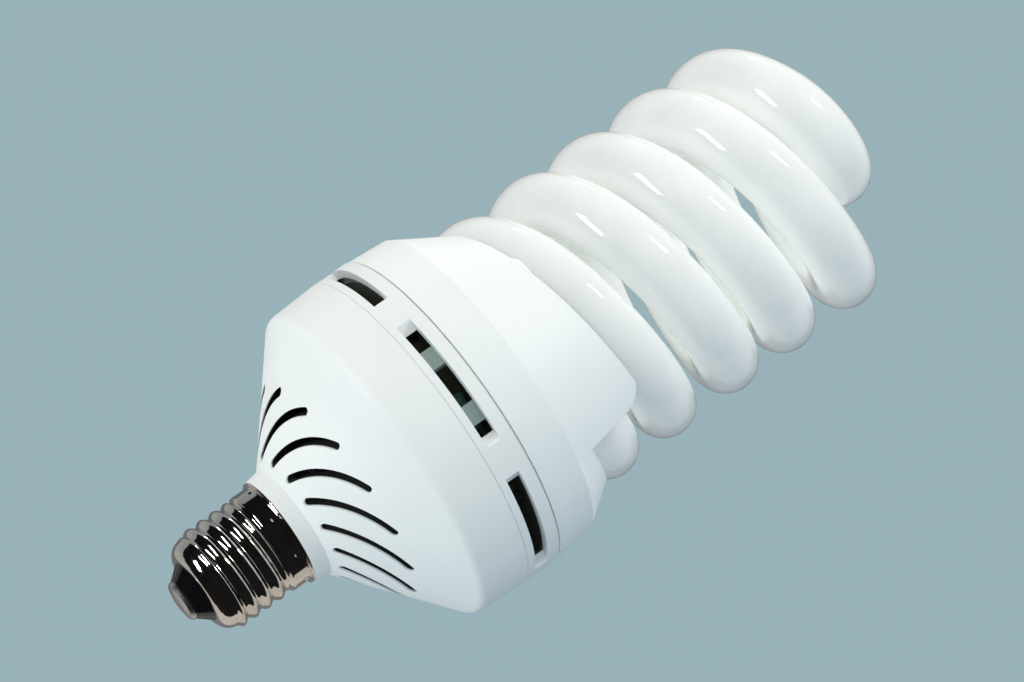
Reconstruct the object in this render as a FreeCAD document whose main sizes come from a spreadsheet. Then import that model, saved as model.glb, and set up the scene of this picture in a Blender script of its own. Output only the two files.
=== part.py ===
import FreeCAD, Part

import math
import os

import Sketcher
from FreeCAD import Placement, Rotation, Vector

# A spiral energy saving bulb on a screw cap.
# Lengths are millimetres and angles are degrees. The axis is Z, with the tip of
# the centre contact at the origin and the glass spiral on top.

SIZES = {
    # screw cap
    "contact_flat_radius": 2.6,
    "contact_radius": 5.2,
    "contact_dome": 1.0,
    "contact_bulge": 0.45,
    "contact_rim": 0.5,
    "rivet_radius": 1.2,
    "insulator_radius": 8.1,
    "insulator_rise": 2.1,
    "shell_wall": 0.6,
    "lip_height": 5.0,
    "shoulder_inset": 0.9,
    "shoulder_rise": 1.3,
    "root_radius": 12.1,
    "thread_height": 1.0,
    "ridge_radius": 1.25,
    "ridge_sink": 0.75,
    "thread_run_out": 90.0,
    "thread_pitch": 3.629,
    "thread_gap": 2.3,
    "thread_turns": 3.6,
    "skirt_gap": 2.6356,
    "skirt_taper": 0.8,
    "skirt_step": 1.0,
    "skirt_height": 4.4,
    "rim_taper": 0.3,
    "rim_width": 0.9,
    "rim_height": 0.8,
    # lower housing
    "neck_clearance": 0.15,
    "neck_gap": 0.9,
    "neck_wall": 1.95,
    "collar_step": 0.1,
    "collar_draft": 0.6,
    "collar_height": 4.0,
    "funnel_height": 23.5,
    "funnel_wall": 2.6,
    "funnel_round": 3.0,
    "band_height": 12.8,
    "band_margin": 6.85,
    "band_draft": 0.7,
    "housing_wall": 2.0,
    # curved vents in the funnel
    "vent_count": 15,
    "vent_width": 1.8,
    "vent_arc_radius": 17.5,
    "vent_arc_across": 8.6,
    "vent_inset": 2.1,
    "vent_first_angle": 186.4,
    "vent_last_angle": 253.1,
    # window ring
    "ring_height": 9.3,
    "ring_land": 0.5,
    "ring_land_width": 1.1,
    "ring_wall": 2.2,
    "ring_edge": 0.4,
    "window_count": 6,
    "window_sill": 2.2,
    "window_height": 3.9,
    "window_half_angle": 21.0,
    "window_flare_angle": 3.0,
    "window_turn": -8.3,
    # upper cover
    "cover_step": 0.2,
    "cover_draft": 0.7,
    "cover_wall": 2.0,
    "shoulder_drop": 6.0884,
    "cradle_angle": 35.5,
    "web_wall": 1.2,
    "end_wall": 2.1,
    "ramp_corner_round": 5.5,
    "hub_radius": 12.0,
    "hub_rise": 1.0,
    "hub_relief": 0.3,
    "spigot_depth": 2.6,
    "spigot_wall": 1.8,
    "spigot_clearance": 0.2,
    "post_width": 5.2,
    "post_wall": 2.1,
    "post_sill": 1.2,
    "post_hook": 0.9,
    "post_groups": 3,
    "post_first_angle": 252.0,
    "post_second_angle": 274.5,
    # glass spiral
    "tube_radius": 7.75,
    "coil_radius": 28.4,
    "coil_gap": 2.75,
    "coil_lift": 0.85,
    "exit_rise": 21.13403,
    "crossing_angle": 240.5,
    "exit_angle": 130.0,
    "whole_turns": 2,
    "inner_arc": 48.0,
    "bore_reach": 200.0,
    "bore_overrun": 8.0,
    "tube_clearance": 0.25,
    "tip_radius": 2.4,
    "tip_length": 4.0,
    "seal_width": 3.0,
    "seal_wall": 1.3,
    # ballast
    "board_clearance": 0.1,
    "board_wall": 1.6,
    "board_drop": 0.8,
    "pin_radius": 0.6,
    "pin_length": 5.0,
    "pin_arc": 12.0,
    "lead_offset": 3.2,
    "filament_lead_radius": 0.35,
    "lead_radius": 0.6,
    "lead_fit": 0.2,
    "lead_drop": 2.4,
    "lead_bend": 0.9,
    "lying_gap": 0.3,
    "capacitor_radius": 9.0,
    "capacitor_length": 31.0,
    "capacitor_gap": 2.4,
    "capacitor_round": 1.0,
    "groove_depth": 0.8,
    "groove_place": 3.2,
    "choke_width": 25.0,
    "choke_depth": 7.0,
    "choke_height": 20.0,
    "choke_leg": 3.2,
    "choke_gap": 3.5,
    "winding_fit": 0.2,
    "winding_bulge": 4.5,
    "winding_round": 2.0,
    "transistor_width": 10.0,
    "transistor_depth": 4.5,
    "transistor_height": 9.5,
    "transistor_tab": 1.3,
    "transistor_legs": 4.0,
    "transistor_across": 12.0,
    "transistor_inset": 16.4,
    "transistor_gap": 2.0,
    "leg_width": 0.8,
    "leg_depth": 0.5,
    "leg_pitch": 2.5,
    "film_width": 12.0,
    "film_depth": 5.5,
    "film_height": 11.0,
    "film_round": 1.65,
    "film_side_inset": 15.4,
    "film_side_along": 5.0,
    "film_side_turn": 70.0,
    "film_back_inset": 9.65,
    "film_back_angle": 58.0,
    "diode_count": 4,
    "diode_radius": 1.35,
    "diode_length": 5.2,
    "diode_gap": 1.3,
    "diode_inset": 6.4,
    "fuse_radius": 2.0,
    "fuse_length": 9.0,
    "fuse_across": 2.0,
    "fuse_inset": 7.4,
    "fuse_turn": 20.0,
    "thermistor_radius": 4.0,
    "thermistor_wall": 2.2,
    "thermistor_inset": 15.4,
    "thermistor_turn": 10.0,
    "toroid_radius": 5.0,
    "toroid_bore": 2.6,
    "toroid_wall": 3.6,
    "toroid_across": 17.0,
    "toroid_along": 8.0,
    "drum_radius": 4.2,
    "drum_waist": 2.6,
    "drum_height": 10.0,
    "drum_flange": 1.4,
    "drum_inset": 5.1,
    "drum_angle": 228.6,
}


class Size:
    """A number from the sheet together with the formula that gives it."""

    def __init__(self, number, formula):
        self.number = number
        self.formula = formula

    def combine(self, other, sign, result):
        return Size(result, "(" + self.formula + " " + sign + " " + formula(other) + ")")

    def __add__(self, other):
        return self.combine(other, "+", self.number + plain(other))

    def __sub__(self, other):
        return self.combine(other, "-", self.number - plain(other))

    def __mul__(self, other):
        return self.combine(other, "*", self.number * plain(other))

    def __truediv__(self, other):
        return self.combine(other, "/", self.number / plain(other))


def plain(value):
    return value.number if isinstance(value, Size) else value


def formula(value):
    return value.formula if isinstance(value, Size) else str(value)


def sine(angle):
    return Size(math.sin(math.radians(plain(angle))), "sin(" + formula(angle) + " * 1 deg)")


def cosine(angle):
    return Size(math.cos(math.radians(plain(angle))), "cos(" + formula(angle) + " * 1 deg)")


doc = FreeCAD.newDocument("SpiralBulb")
sheet = doc.addObject("Spreadsheet::Sheet", "Sizes")
for row, (alias, number) in enumerate(SIZES.items(), start=1):
    sheet.set("A" + str(row), alias)
    sheet.set("B" + str(row), str(number))
    sheet.setAlias("B" + str(row), alias)
doc.recompute()


def size(alias):
    return Size(SIZES[alias], "Sizes." + alias)


def number(alias):
    return float(SIZES[alias])


# Sketches and turned bodies

sub_parts = []


def new_body(label):
    body = doc.addObject("PartDesign::Body", label)
    body.Label = label
    sub_parts.append(body)
    return body


def origin_plane(body, role):
    return [item for item in body.Origin.OriginFeatures if item.Role == role][0]


def new_sketch(body, name, role):
    sketch = body.newObject("Sketcher::SketchObject", name)
    sketch.AttachmentSupport = [(origin_plane(body, role), "")]
    sketch.MapMode = "FlatFace"
    return sketch


def hold(sketch, kind, target, value):
    """One driving dimension of a sketch, bound to the sheet."""
    row = sketch.addConstraint(Sketcher.Constraint(kind, *target, plain(value)))
    if isinstance(value, Size):
        sketch.setExpression("Constraints[" + str(row) + "]", value.formula)
    return row


def place_point(sketch, geometry, point, across, along):
    """Holds a point of a sketch by its distances from the two axes."""
    if plain(across) == 0:
        sketch.addConstraint(Sketcher.Constraint("PointOnObject", geometry, point, -2))
    else:
        hold(sketch, "DistanceX", (-1, 1, geometry, point), across)
    if plain(along) == 0:
        sketch.addConstraint(Sketcher.Constraint("PointOnObject", geometry, point, -1))
    else:
        hold(sketch, "DistanceY", (-1, 1, geometry, point), along)


def outline(sketch, points):
    """A closed outline of straight lines through the points, each held by two sizes."""
    corners = [Vector(plain(across), plain(along), 0) for across, along in points]
    count = len(corners)
    first = sketch.GeometryCount
    for index, corner in enumerate(corners):
        sketch.addGeometry(Part.LineSegment(corner, corners[(index + 1) % count]), False)
    for index in range(count):
        following = first + (index + 1) % count
        sketch.addConstraint(Sketcher.Constraint("Coincident", first + index, 2, following, 1))
    for index, (across, along) in enumerate(points):
        place_point(sketch, first + index, 1, across, along)


def turned(body, name, points):
    """A full turn of an outline, given as radius and height, about the axis."""
    sketch = new_sketch(body, name + "Profile", "XZ_Plane")
    outline(sketch, points)
    revolution = body.newObject("PartDesign::Revolution", name)
    revolution.Profile = sketch
    revolution.ReferenceAxis = (sketch, ["V_Axis"])
    revolution.Angle = 360
    doc.recompute()
    return revolution


def ring_edges(feature, radius, height):
    """Names of the round edges of a feature at one radius and height."""
    names = []
    for index, edge in enumerate(feature.Shape.Edges, start=1):
        curve = edge.Curve
        if not isinstance(curve, Part.Circle):
            continue
        if abs(curve.Radius - plain(radius)) < 0.01 and abs(curve.Center.z - plain(height)) < 0.01:
            names.append("Edge" + str(index))
    return names


def rounded(body, name, feature, radius, height, round_radius):
    fillet = body.newObject("PartDesign::Fillet", name)
    fillet.Base = (feature, ring_edges(feature, radius, height))
    fillet.Radius = plain(round_radius)
    if isinstance(round_radius, Size):
        fillet.setExpression("Radius", round_radius.formula)
    doc.recompute()
    return fillet


def cut_through(body, name, sketch, base_volume):
    """Cuts a sketch upwards through the whole body and checks that it met material."""
    pocket = body.newObject("PartDesign::Pocket", name)
    pocket.Profile = sketch
    pocket.Type = "ThroughAll"
    pocket.Reversed = True
    doc.recompute()
    if pocket.Shape.Volume >= base_volume:
        raise RuntimeError(name + " cuts nothing")
    return pocket


def repeated(body, name, feature, count):
    pattern = body.newObject("PartDesign::PolarPattern", name)
    pattern.Originals = [feature]
    axis = [item for item in body.Origin.OriginFeatures if item.Role == "Z_Axis"][0]
    pattern.Axis = (axis, [""])
    pattern.Angle = 360
    pattern.Occurrences = int(plain(count))
    pattern.setExpression("Occurrences", count.formula)
    body.Tip = pattern
    doc.recompute()
    return pattern


def new_feature(label, shape):
    """A sub-part whose shape comes from solids worked out below."""
    feature = doc.addObject("Part::Feature", label)
    feature.Label = label
    feature.Shape = shape
    feature.Placement = Placement()
    sub_parts.append(feature)
    return feature


# Curves and solids in space

def polar(radius, angle, height):
    turn = math.radians(angle)
    return Vector(radius * math.cos(turn), radius * math.sin(turn), height)


def one_solid(faces, tolerance):
    """Sews faces that share their edges into one solid with its inside inside."""
    shape = Part.Compound(faces)
    shape.sewShape(tolerance)
    solid = Part.Solid(shape.Shells[0])
    if solid.Volume < 0:
        solid.reverse()
    return solid


def tangent_arcs(start, start_way, end, end_way):
    """Two arcs that run smoothly from one point and direction to the next."""
    span = end - start
    ways = start_way + end_way
    along = span.dot(ways)
    bend = 2 * (1 - start_way.dot(end_way))
    if bend < 1e-9:
        return [(start, start_way, end)]
    reach = (math.sqrt(along * along + bend * span.dot(span)) - along) / bend
    before = start + start_way * reach
    after = end - end_way * reach
    middle = (before + after) * 0.5
    return [(start, start_way, middle), (middle, (after - before).normalize(), end)]


def bent_tube(path, radius):
    """A round solid along a path of points and directions, made of ring pieces."""
    faces = []
    for (start, start_way), (end, end_way) in zip(path, path[1:]):
        for point, way, target in tangent_arcs(start, start_way, end, end_way):
            circle = Part.Edge(Part.Circle(point, way, radius))
            chord = target - point
            side = chord - way * chord.dot(way)
            if side.Length < 1e-6:
                faces += circle.extrude(chord).Faces
                continue
            bend_radius = chord.dot(chord) / (2 * side.Length)
            angle = 2 * math.atan2(side.Length, chord.dot(way))
            side.normalize()
            axis = way.cross(side)
            faces += circle.revolve(point + side * bend_radius, axis, math.degrees(angle)).Faces
    for point, way in (path[0], path[-1]):
        faces.append(Part.Face(Part.Wire(Part.Edge(Part.Circle(point, way, radius)))))
    return one_solid(faces, 1e-5)


# Radii and heights that pieces share, each from the ones that it rests on

crest_radius = size("root_radius") + size("thread_height")
skirt_radius = size("root_radius") + size("skirt_step")
rim_radius = skirt_radius + size("rim_width")
shoulder_radius = size("root_radius") - size("shoulder_inset")
root_inner = size("root_radius") - size("shell_wall")
skirt_inner = skirt_radius - size("shell_wall")
neck_radius = skirt_inner - size("neck_clearance")
neck_bore = neck_radius - size("neck_wall")
collar_radius = rim_radius + size("collar_step")
collar_top_radius = collar_radius + size("collar_draft")
band_radius = size("coil_radius") + size("tube_radius") + size("band_margin")
funnel_radius = band_radius - size("band_draft")
ring_inner = band_radius - size("ring_wall")
spigot_outer = ring_inner - size("spigot_clearance")
board_radius = spigot_outer - size("post_wall") - size("board_clearance")
cover_radius = band_radius - size("cover_step")
shoulder_ring_radius = cover_radius - size("cover_draft")

shoulder_height = size("lip_height") + size("shoulder_rise")
thread_start = shoulder_height + size("thread_gap")
skirt_start = thread_start + size("thread_pitch") * size("thread_turns") + size("skirt_gap")
rim_start = skirt_start + size("skirt_height")
cap_height = rim_start + size("rim_height")
neck_start = skirt_start + size("neck_gap")
collar_top = cap_height + size("collar_height")
funnel_top = collar_top + size("funnel_height")
band_top = funnel_top + size("band_height")
ring_top = band_top + size("ring_height")
ring_land_top = ring_top + size("ring_land")
board_top = ring_land_top - size("board_drop")
board_bottom = board_top - size("board_wall")

# The path of the glass tube

tube_radius = number("tube_radius")
coil_radius = number("coil_radius")
coil_pitch = 2 * (2 * tube_radius + number("coil_gap"))
coil_rise = coil_pitch / (2 * math.pi)
crossing_angle = number("crossing_angle")
exit_angle = number("exit_angle")
half_crossing = math.pi * coil_radius / 2
strand_turns = number("whole_turns") + ((crossing_angle - exit_angle) % 360) / 360
crossing_start = ring_land_top.number + number("exit_rise") + coil_pitch * strand_turns


def strand_start(strand):
    """Height at which a strand leaves its coil for the crossing. The second is lifted."""
    lift = number("coil_lift") / 2
    return crossing_start + (lift if strand else -lift)


def exit_height(strand):
    """Height of the tube where a strand comes out of the cover."""
    return strand_start(strand) - coil_pitch * strand_turns


def coil_point(strand, angle, height):
    """Centre and direction of a strand. The second strand is half a turn round."""
    turn = math.radians(angle + 180 * strand)
    place = Vector(coil_radius * math.cos(turn), coil_radius * math.sin(turn), height)
    way = Vector(-coil_radius * math.sin(turn), coil_radius * math.cos(turn), coil_rise)
    return place, way.normalize()


def strand_path(strand, before, after, steps):
    """A stretch of a strand, from an arc before its exit to an arc after it."""
    path = []
    for step in range(steps + 1):
        arc = (before + after) * step / steps - before
        height = exit_height(strand) + coil_pitch * arc / 360
        path.append(coil_point(strand, exit_angle + arc, height))
    return path


def crossing_point(share):
    """Centre and direction on the crossing, which is two half circles of half the
    coil's radius that meet on the axis. The share runs from 0 to 1."""
    side = 0 if share <= 0.5 else 1
    from_coil = 2 * share if side == 0 else 2 * (1 - share)
    centre = polar(coil_radius / 2, crossing_angle + 180 * side, 0)
    angle = crossing_angle + 180 * side + 180 * from_coil
    place = centre + polar(coil_radius / 2, angle, 0)
    run = 2 * half_crossing * share
    slope = coil_rise / coil_radius
    lift = strand_start(1) - strand_start(0)
    ease = share * share * (3 - 2 * share)
    ease_slope = 6 * share * (1 - share) / (2 * half_crossing)
    place.z = strand_start(0) + slope * run * (1 - share) + lift * ease
    turn = math.radians(angle)
    way = Vector(-math.sin(turn), math.cos(turn), 0)
    if side:
        way = way * -1
    way.z = slope * (1 - 2 * share) + lift * ease_slope
    return place, way.normalize()


def whole_tube_path():
    steps_per_turn = 8
    crossing_steps = 6
    inner = number("inner_arc")
    steps = int(math.ceil((strand_turns + inner / 360) * steps_per_turn))
    first = strand_path(0, inner, 360 * strand_turns, steps)
    second = strand_path(1, inner, 360 * strand_turns, steps)
    middle = [crossing_point(step / crossing_steps) for step in range(1, crossing_steps)]
    back = [(place, way * -1) for place, way in reversed(second)]
    return first + middle + back


# Screw cap

contact_rim_top = size("contact_dome") + size("contact_rim")
insulator_top = shoulder_height + size("shell_wall") + size("insulator_rise")

contact = new_body("centre_contact")
turned(contact, "ContactRivet", [
    (0, 0),
    (size("contact_flat_radius"), 0),
    (size("contact_radius") - size("contact_rim"), size("contact_bulge")),
    (size("contact_radius"), size("contact_dome")),
    (size("contact_radius"), contact_rim_top),
    (size("rivet_radius"), contact_rim_top),
    (size("rivet_radius"), insulator_top),
    (0, insulator_top),
])

lip_inner_height = size("lip_height") + size("shell_wall")

insulator = new_body("cap_insulator")
turned(insulator, "BlackGlass", [
    (size("rivet_radius"), contact_rim_top),
    (size("contact_radius"), contact_rim_top),
    (size("insulator_radius"), size("lip_height")),
    (size("insulator_radius"), lip_inner_height),
    (shoulder_radius - size("shell_wall"), shoulder_height + size("shell_wall")),
    (shoulder_radius - size("shell_wall"), insulator_top),
    (size("rivet_radius"), insulator_top),
])


def shell_blank():
    """The drawn shell before its thread: lip, shoulder, plain skirt and rim."""
    wall = size("shell_wall")
    taper_start = skirt_start - size("skirt_taper")
    outer = [
        (size("insulator_radius"), size("lip_height")),
        (shoulder_radius, shoulder_height),
        (size("root_radius"), thread_start),
        (size("root_radius"), taper_start),
        (skirt_radius, skirt_start),
        (skirt_radius, rim_start),
        (rim_radius, rim_start + size("rim_taper")),
        (rim_radius, cap_height),
        (skirt_inner, cap_height),
        (skirt_inner, skirt_start + wall / 2),
        (root_inner, taper_start + wall / 2),
        (root_inner, thread_start + wall / 3),
        (shoulder_radius - wall, shoulder_height + wall),
        (size("insulator_radius"), size("lip_height") + wall),
    ]
    points = [Vector(radius.number, 0, height.number) for radius, height in outer]
    face = Part.Face(Part.makePolygon(points + points[:1]))
    return face.revolve(Vector(0, 0, 0), Vector(0, 0, 1), 360)


def thread_ridge():
    """The rolled thread, a round ridge wound along a helix that sinks in at both ends."""
    pitch = number("thread_pitch")
    turns = number("thread_turns")
    radius = number("ridge_radius")
    centre = crest_radius.number - radius
    run_out = number("thread_run_out")
    steps = int(math.ceil(turns * 4))
    path = []
    for step in range(steps + 1):
        angle = 360 * turns * step / steps
        sunk = 1 - min(1, angle / run_out, (360 * turns - angle) / run_out)
        reach = centre - number("ridge_sink") * sunk
        place = polar(reach, angle, thread_start.number + radius + pitch * angle / 360)
        way = polar(reach, angle + 90, pitch / (2 * math.pi))
        path.append((place, way.normalize()))
    inside = Part.makeCylinder(root_inner.number, cap_height.number)
    return bent_tube(path, radius).cut(inside)


new_feature("screw_shell", shell_blank().fuse(thread_ridge()))

# Lower housing with its curved vents

funnel_slope = (funnel_top - collar_top) / (funnel_radius - collar_top_radius)
funnel_inner_radius = funnel_radius - size("housing_wall")
funnel_inner_start = collar_top + size("funnel_wall") - funnel_slope * (
    collar_top_radius - neck_bore)
funnel_inner_end = collar_top + size("funnel_wall") + funnel_slope * (
    funnel_inner_radius - collar_top_radius)

housing = new_body("lower_housing")
funnel = turned(housing, "Funnel", [
    (neck_bore, neck_start),
    (neck_radius, neck_start),
    (neck_radius, cap_height),
    (collar_radius, cap_height),
    (collar_top_radius, collar_top),
    (funnel_radius, funnel_top),
    (band_radius, band_top),
    (band_radius - size("housing_wall"), band_top),
    (funnel_inner_radius, funnel_inner_end),
    (neck_bore, funnel_inner_start),
])
funnel_rounded = rounded(housing, "FunnelRound", funnel, funnel_radius, funnel_top,
                         size("funnel_round"))

vent = new_sketch(housing, "VentSlot", "XY_Plane")
vent_centre = (size("vent_arc_across"), (collar_top_radius - size("vent_inset")) * -1)
vent_half = size("vent_width") / 2


def vent_end(angle):
    radius = size("vent_arc_radius")
    return (vent_centre[0] + radius * cosine(angle), vent_centre[1] + radius * sine(angle))


def vent_arc(centre, radius, first, last):
    circle = Part.Circle(Vector(plain(centre[0]), plain(centre[1]), 0), Vector(0, 0, 1), radius)
    return vent.addGeometry(Part.ArcOfCircle(circle, math.radians(first), math.radians(last)), False)


first_angle = size("vent_first_angle")
last_angle = size("vent_last_angle")
outer_arc = vent_arc(vent_centre, number("vent_arc_radius") + vent_half.number,
                     first_angle.number, last_angle.number)
inner_arc = vent_arc(vent_centre, number("vent_arc_radius") - vent_half.number,
                     first_angle.number, last_angle.number)
first_cap = vent_arc(vent_end(first_angle), vent_half.number,
                     first_angle.number - 180, first_angle.number)
last_cap = vent_arc(vent_end(last_angle), vent_half.number,
                    last_angle.number, last_angle.number + 180)
place_point(vent, outer_arc, 3, *vent_centre)
vent.addConstraint(Sketcher.Constraint("Coincident", inner_arc, 3, outer_arc, 3))
vent.addConstraint(Sketcher.Constraint("Tangent", first_cap, 2, outer_arc, 1))
vent.addConstraint(Sketcher.Constraint("Tangent", last_cap, 1, outer_arc, 2))
vent.addConstraint(Sketcher.Constraint("Tangent", first_cap, 1, inner_arc, 1))
vent.addConstraint(Sketcher.Constraint("Tangent", last_cap, 2, inner_arc, 2))
hold(vent, "Radius", (outer_arc,), size("vent_arc_radius") + vent_half)
hold(vent, "Radius", (first_cap,), vent_half)
hold(vent, "DistanceY", (-1, 1, first_cap, 3), vent_end(first_angle)[1])
hold(vent, "DistanceX", (-1, 1, last_cap, 3), vent_end(last_angle)[0])
vent_cut = cut_through(housing, "VentCut", vent, funnel_rounded.Shape.Volume)
repeated(housing, "Vents", vent_cut, size("vent_count"))

# Window ring

ring = new_body("vent_ring")
ring_blank = turned(ring, "Ring", [
    (ring_inner, band_top),
    (band_radius - size("ring_edge"), band_top),
    (band_radius, band_top + size("ring_edge")),
    (band_radius, ring_top),
    (ring_inner + size("ring_land_width"), ring_top),
    (ring_inner + size("ring_land_width"), ring_land_top),
    (ring_inner, ring_land_top),
])

window = new_sketch(ring, "Window", "XY_Plane")
window_floor = band_top + size("window_sill")
window.AttachmentOffset = Placement(Vector(0, 0, window_floor.number),
                                    Rotation(Vector(0, 0, 1), number("window_turn")))
window.setExpression("AttachmentOffset.Base.z", window_floor.formula)
inner_half = size("window_half_angle")
outer_half = inner_half + size("window_flare_angle")
inner_across = ring_inner * sine(inner_half)
inner_down = ring_inner * cosine(inner_half)
flare_across = band_radius * sine(outer_half) - inner_across
flare_down = band_radius * cosine(outer_half) - inner_down
outer_down = band_radius + size("ring_wall")
outer_across = inner_across + flare_across * (outer_down - inner_down) / flare_down
inside_down = inner_down - size("ring_wall") * 2
outline(window, [
    (inner_across * -1, inside_down * -1),
    (inner_across, inside_down * -1),
    (inner_across, inner_down * -1),
    (outer_across, outer_down * -1),
    (outer_across * -1, outer_down * -1),
    (inner_across * -1, inner_down * -1),
])
window_cut = ring.newObject("PartDesign::Pocket", "WindowCut")
window_cut.Profile = window
window_cut.Length = number("window_height")
window_cut.setExpression("Length", size("window_height").formula)
window_cut.Reversed = True
doc.recompute()
if window_cut.Shape.Volume >= ring_blank.Shape.Volume:
    raise RuntimeError("the window cuts nothing")
repeated(ring, "Windows", window_cut, size("window_count"))

# Upper cover with two ramps that follow the spiral

ramp_rise = coil_pitch / 2
bore_radius = tube_radius + number("tube_clearance")
cover_bottom = ring_land_top.number
cradle = math.radians(number("cradle_angle"))
middle_exit_height = cover_bottom + number("exit_rise")
edge_radius = coil_radius + bore_radius * math.cos(cradle)
edge_height = middle_exit_height - bore_radius * math.sin(cradle)
cover_shoulder = edge_height - number("shoulder_drop")


def half_ring(radius, angle, height):
    corners = [polar(radius, angle + turn, height) for turn in (0, 90, 180)]
    return Part.Arc(*corners).toShape()


def half_helix(radius, angle, height):
    helix = Part.makeHelix(coil_pitch, ramp_rise, radius)
    helix.Placement = Placement(Vector(0, 0, height), Rotation(Vector(0, 0, 1), angle))
    return helix.Edges[0]


def ramp(base_radius, base_height, rim_radius, rim_height, inner_radius, angle):
    """Half a turn of the cover: a wall leans in from a level ring to a rim that climbs."""
    base = half_ring(base_radius, angle, base_height)
    rim = half_helix(rim_radius, angle, rim_height)
    inner = half_helix(inner_radius, angle, rim_height)
    foot = half_ring(inner_radius, angle, base_height)
    faces = []
    for first, second in ((base, rim), (rim, inner), (inner, foot)):
        faces += Part.makeLoft([Part.Wire(first), Part.Wire(second)], False, True).Faces
    for end, height in ((angle, rim_height), (angle + 180, rim_height + ramp_rise)):
        corners = [polar(base_radius, end, base_height), polar(rim_radius, end, height),
                   polar(inner_radius, end, height), polar(inner_radius, end, base_height)]
        faces.append(Part.Face(Part.makePolygon(corners + corners[:1])))
    sides = [Part.makeLine(polar(base_radius, end, base_height), polar(inner_radius, end, base_height))
             for end in (angle, angle + 180)]
    faces.append(Part.Face(Part.Wire([base, sides[1], foot, sides[0]])))
    return one_solid(faces, 1e-4)


def round_ramp_end(solid, rim_height, length):
    """Rounds the top corner of a ramp where it drops to the next one."""
    top = rim_height + ramp_rise
    edges = [edge for edge in solid.Edges
             if all(abs(vertex.Z - top) < 1e-4 for vertex in edge.Vertexes)
             and abs(edge.Length - length) < 0.5]
    return solid.makeFillet(number("ramp_corner_round"), edges).Solids[0]


def ramped_body(bottom_radius, bottom, base_radius, rim_radius, rim_height, inner_radius,
                hub_top, angle, rounds):
    """Two ramps on a round base, with a hub in the middle."""
    base_height = cover_shoulder
    pieces = []
    for start in (angle, angle + 180):
        solid = ramp(base_radius, base_height, rim_radius, rim_height, inner_radius, start)
        if rounds:
            solid = round_ramp_end(solid, rim_height, rim_radius - inner_radius)
        pieces.append(solid)
    pieces.append(Part.makeCylinder(inner_radius, hub_top - bottom, Vector(0, 0, bottom)))
    base = Part.makeCone(bottom_radius, base_radius, base_height - bottom, Vector(0, 0, bottom))
    return base.multiFuse(pieces).removeSplitter().Solids[0]


cover_wall = number("cover_wall")
hub_radius = number("hub_radius")
hub_top = edge_height + ramp_rise + number("hub_rise")
cover_outside = ramped_body(
    cover_radius.number, cover_bottom, shoulder_ring_radius.number, edge_radius,
    edge_height, hub_radius, hub_top, exit_angle, True)

# The hollow stops a thin web below the strand that passes over the other one's end.
inset_angle = math.degrees(number("end_wall") / coil_radius)
strand_above = exit_height(0) + coil_pitch - ramp_rise
hollow_end = min(strand_above, exit_height(1) + ramp_rise) - bore_radius - number("web_wall")
hollow_start = hollow_end - ramp_rise
hollow_rim = edge_radius - number("tube_clearance") * 2
spigot_inner = spigot_outer.number - number("spigot_wall")
hollow = ramped_body(
    cover_radius.number - cover_wall, cover_bottom - cover_wall,
    shoulder_ring_radius.number - cover_wall, hollow_rim, hollow_start,
    hub_radius - cover_wall, hollow_end + number("hub_relief"), exit_angle - inset_angle, False)


def spigot():
    """The ring under the cover that locates it inside the window ring."""
    depth = number("spigot_depth")
    low = cover_bottom - depth
    plug = Part.makeCylinder(spigot_outer.number, depth, Vector(0, 0, low))
    flange = Part.makeCylinder(cover_radius.number - cover_wall / 2, cover_wall,
                               Vector(0, 0, cover_bottom))
    opening = Part.makeCylinder(spigot_inner, depth + cover_wall, Vector(0, 0, low))
    return plug.fuse(flange).cut(opening)


def snap_post(angle):
    """A flat post that reaches past the windows, with a hook that carries the board."""
    wall = number("post_wall")
    width = number("post_width")
    outer = spigot_outer.number
    foot = band_top.number + number("post_sill")
    reach = cover_bottom - foot
    post = Part.makeBox(wall, width, reach, Vector(outer - wall, -width / 2, foot))
    post = post.common(Part.makeCylinder(outer, reach, Vector(0, 0, foot)))
    depth = wall + number("post_hook")
    drop = number("board_drop")
    low = board_bottom.number - drop
    shelf = Part.makeBox(depth, width, drop, Vector(outer - depth, -width / 2, low))
    shelf = shelf.common(Part.makeCylinder(outer, reach, Vector(0, 0, foot)))
    solid = post.fuse(shelf)
    solid.rotate(Vector(0, 0, 0), Vector(0, 0, 1), angle)
    return solid


post_groups = int(number("post_groups"))
post_angles = [number(first) + 360 * group / post_groups
               for first in ("post_first_angle", "post_second_angle")
               for group in range(post_groups)]

cover_solid = cover_outside.cut(hollow)
cover_solid = cover_solid.fuse([spigot()] + [snap_post(angle) for angle in post_angles])
bore_steps = 6
for strand in (0, 1):
    inside_arc = number("inner_arc") + number("bore_overrun")
    bore = bent_tube(strand_path(strand, inside_arc, number("bore_reach"), bore_steps), bore_radius)
    cover_solid = cover_solid.cut(bore)
new_feature("upper_cover", cover_solid)

# Glass spiral

tube_path = whole_tube_path()
new_feature("spiral_tube", bent_tube(tube_path, tube_radius))


# Silicone beads that seal each strand behind the end wall of its ramp

def seal_bead(strand):
    arc = inset_angle + math.degrees(number("seal_width") / coil_radius)
    path = strand_path(strand, arc, -inset_angle, 1)
    bead = bent_tube(path, tube_radius + number("seal_wall"))
    past = number("bore_overrun") / 2
    return bead.cut(bent_tube(strand_path(strand, arc + past, past, 2), tube_radius)).common(hollow)


new_feature("seal_beads", Part.makeCompound([seal_bead(strand) for strand in (0, 1)]))

# What closes and feeds the lower ends of the tube

inner_arc = number("inner_arc")
tube_ends = [strand_path(strand, inner_arc, 0, 1)[0] for strand in (0, 1)]


def exhaust_tip(end):
    place, way = end
    tip = number("tip_radius")
    return Part.makeCone(tip, tip / 2, number("tip_length"), place, way * -1)


new_feature("exhaust_tips", Part.makeCompound([exhaust_tip(end) for end in tube_ends]))

pin_top = board_top.number + number("pin_length")
lead_offset = number("lead_offset")


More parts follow.
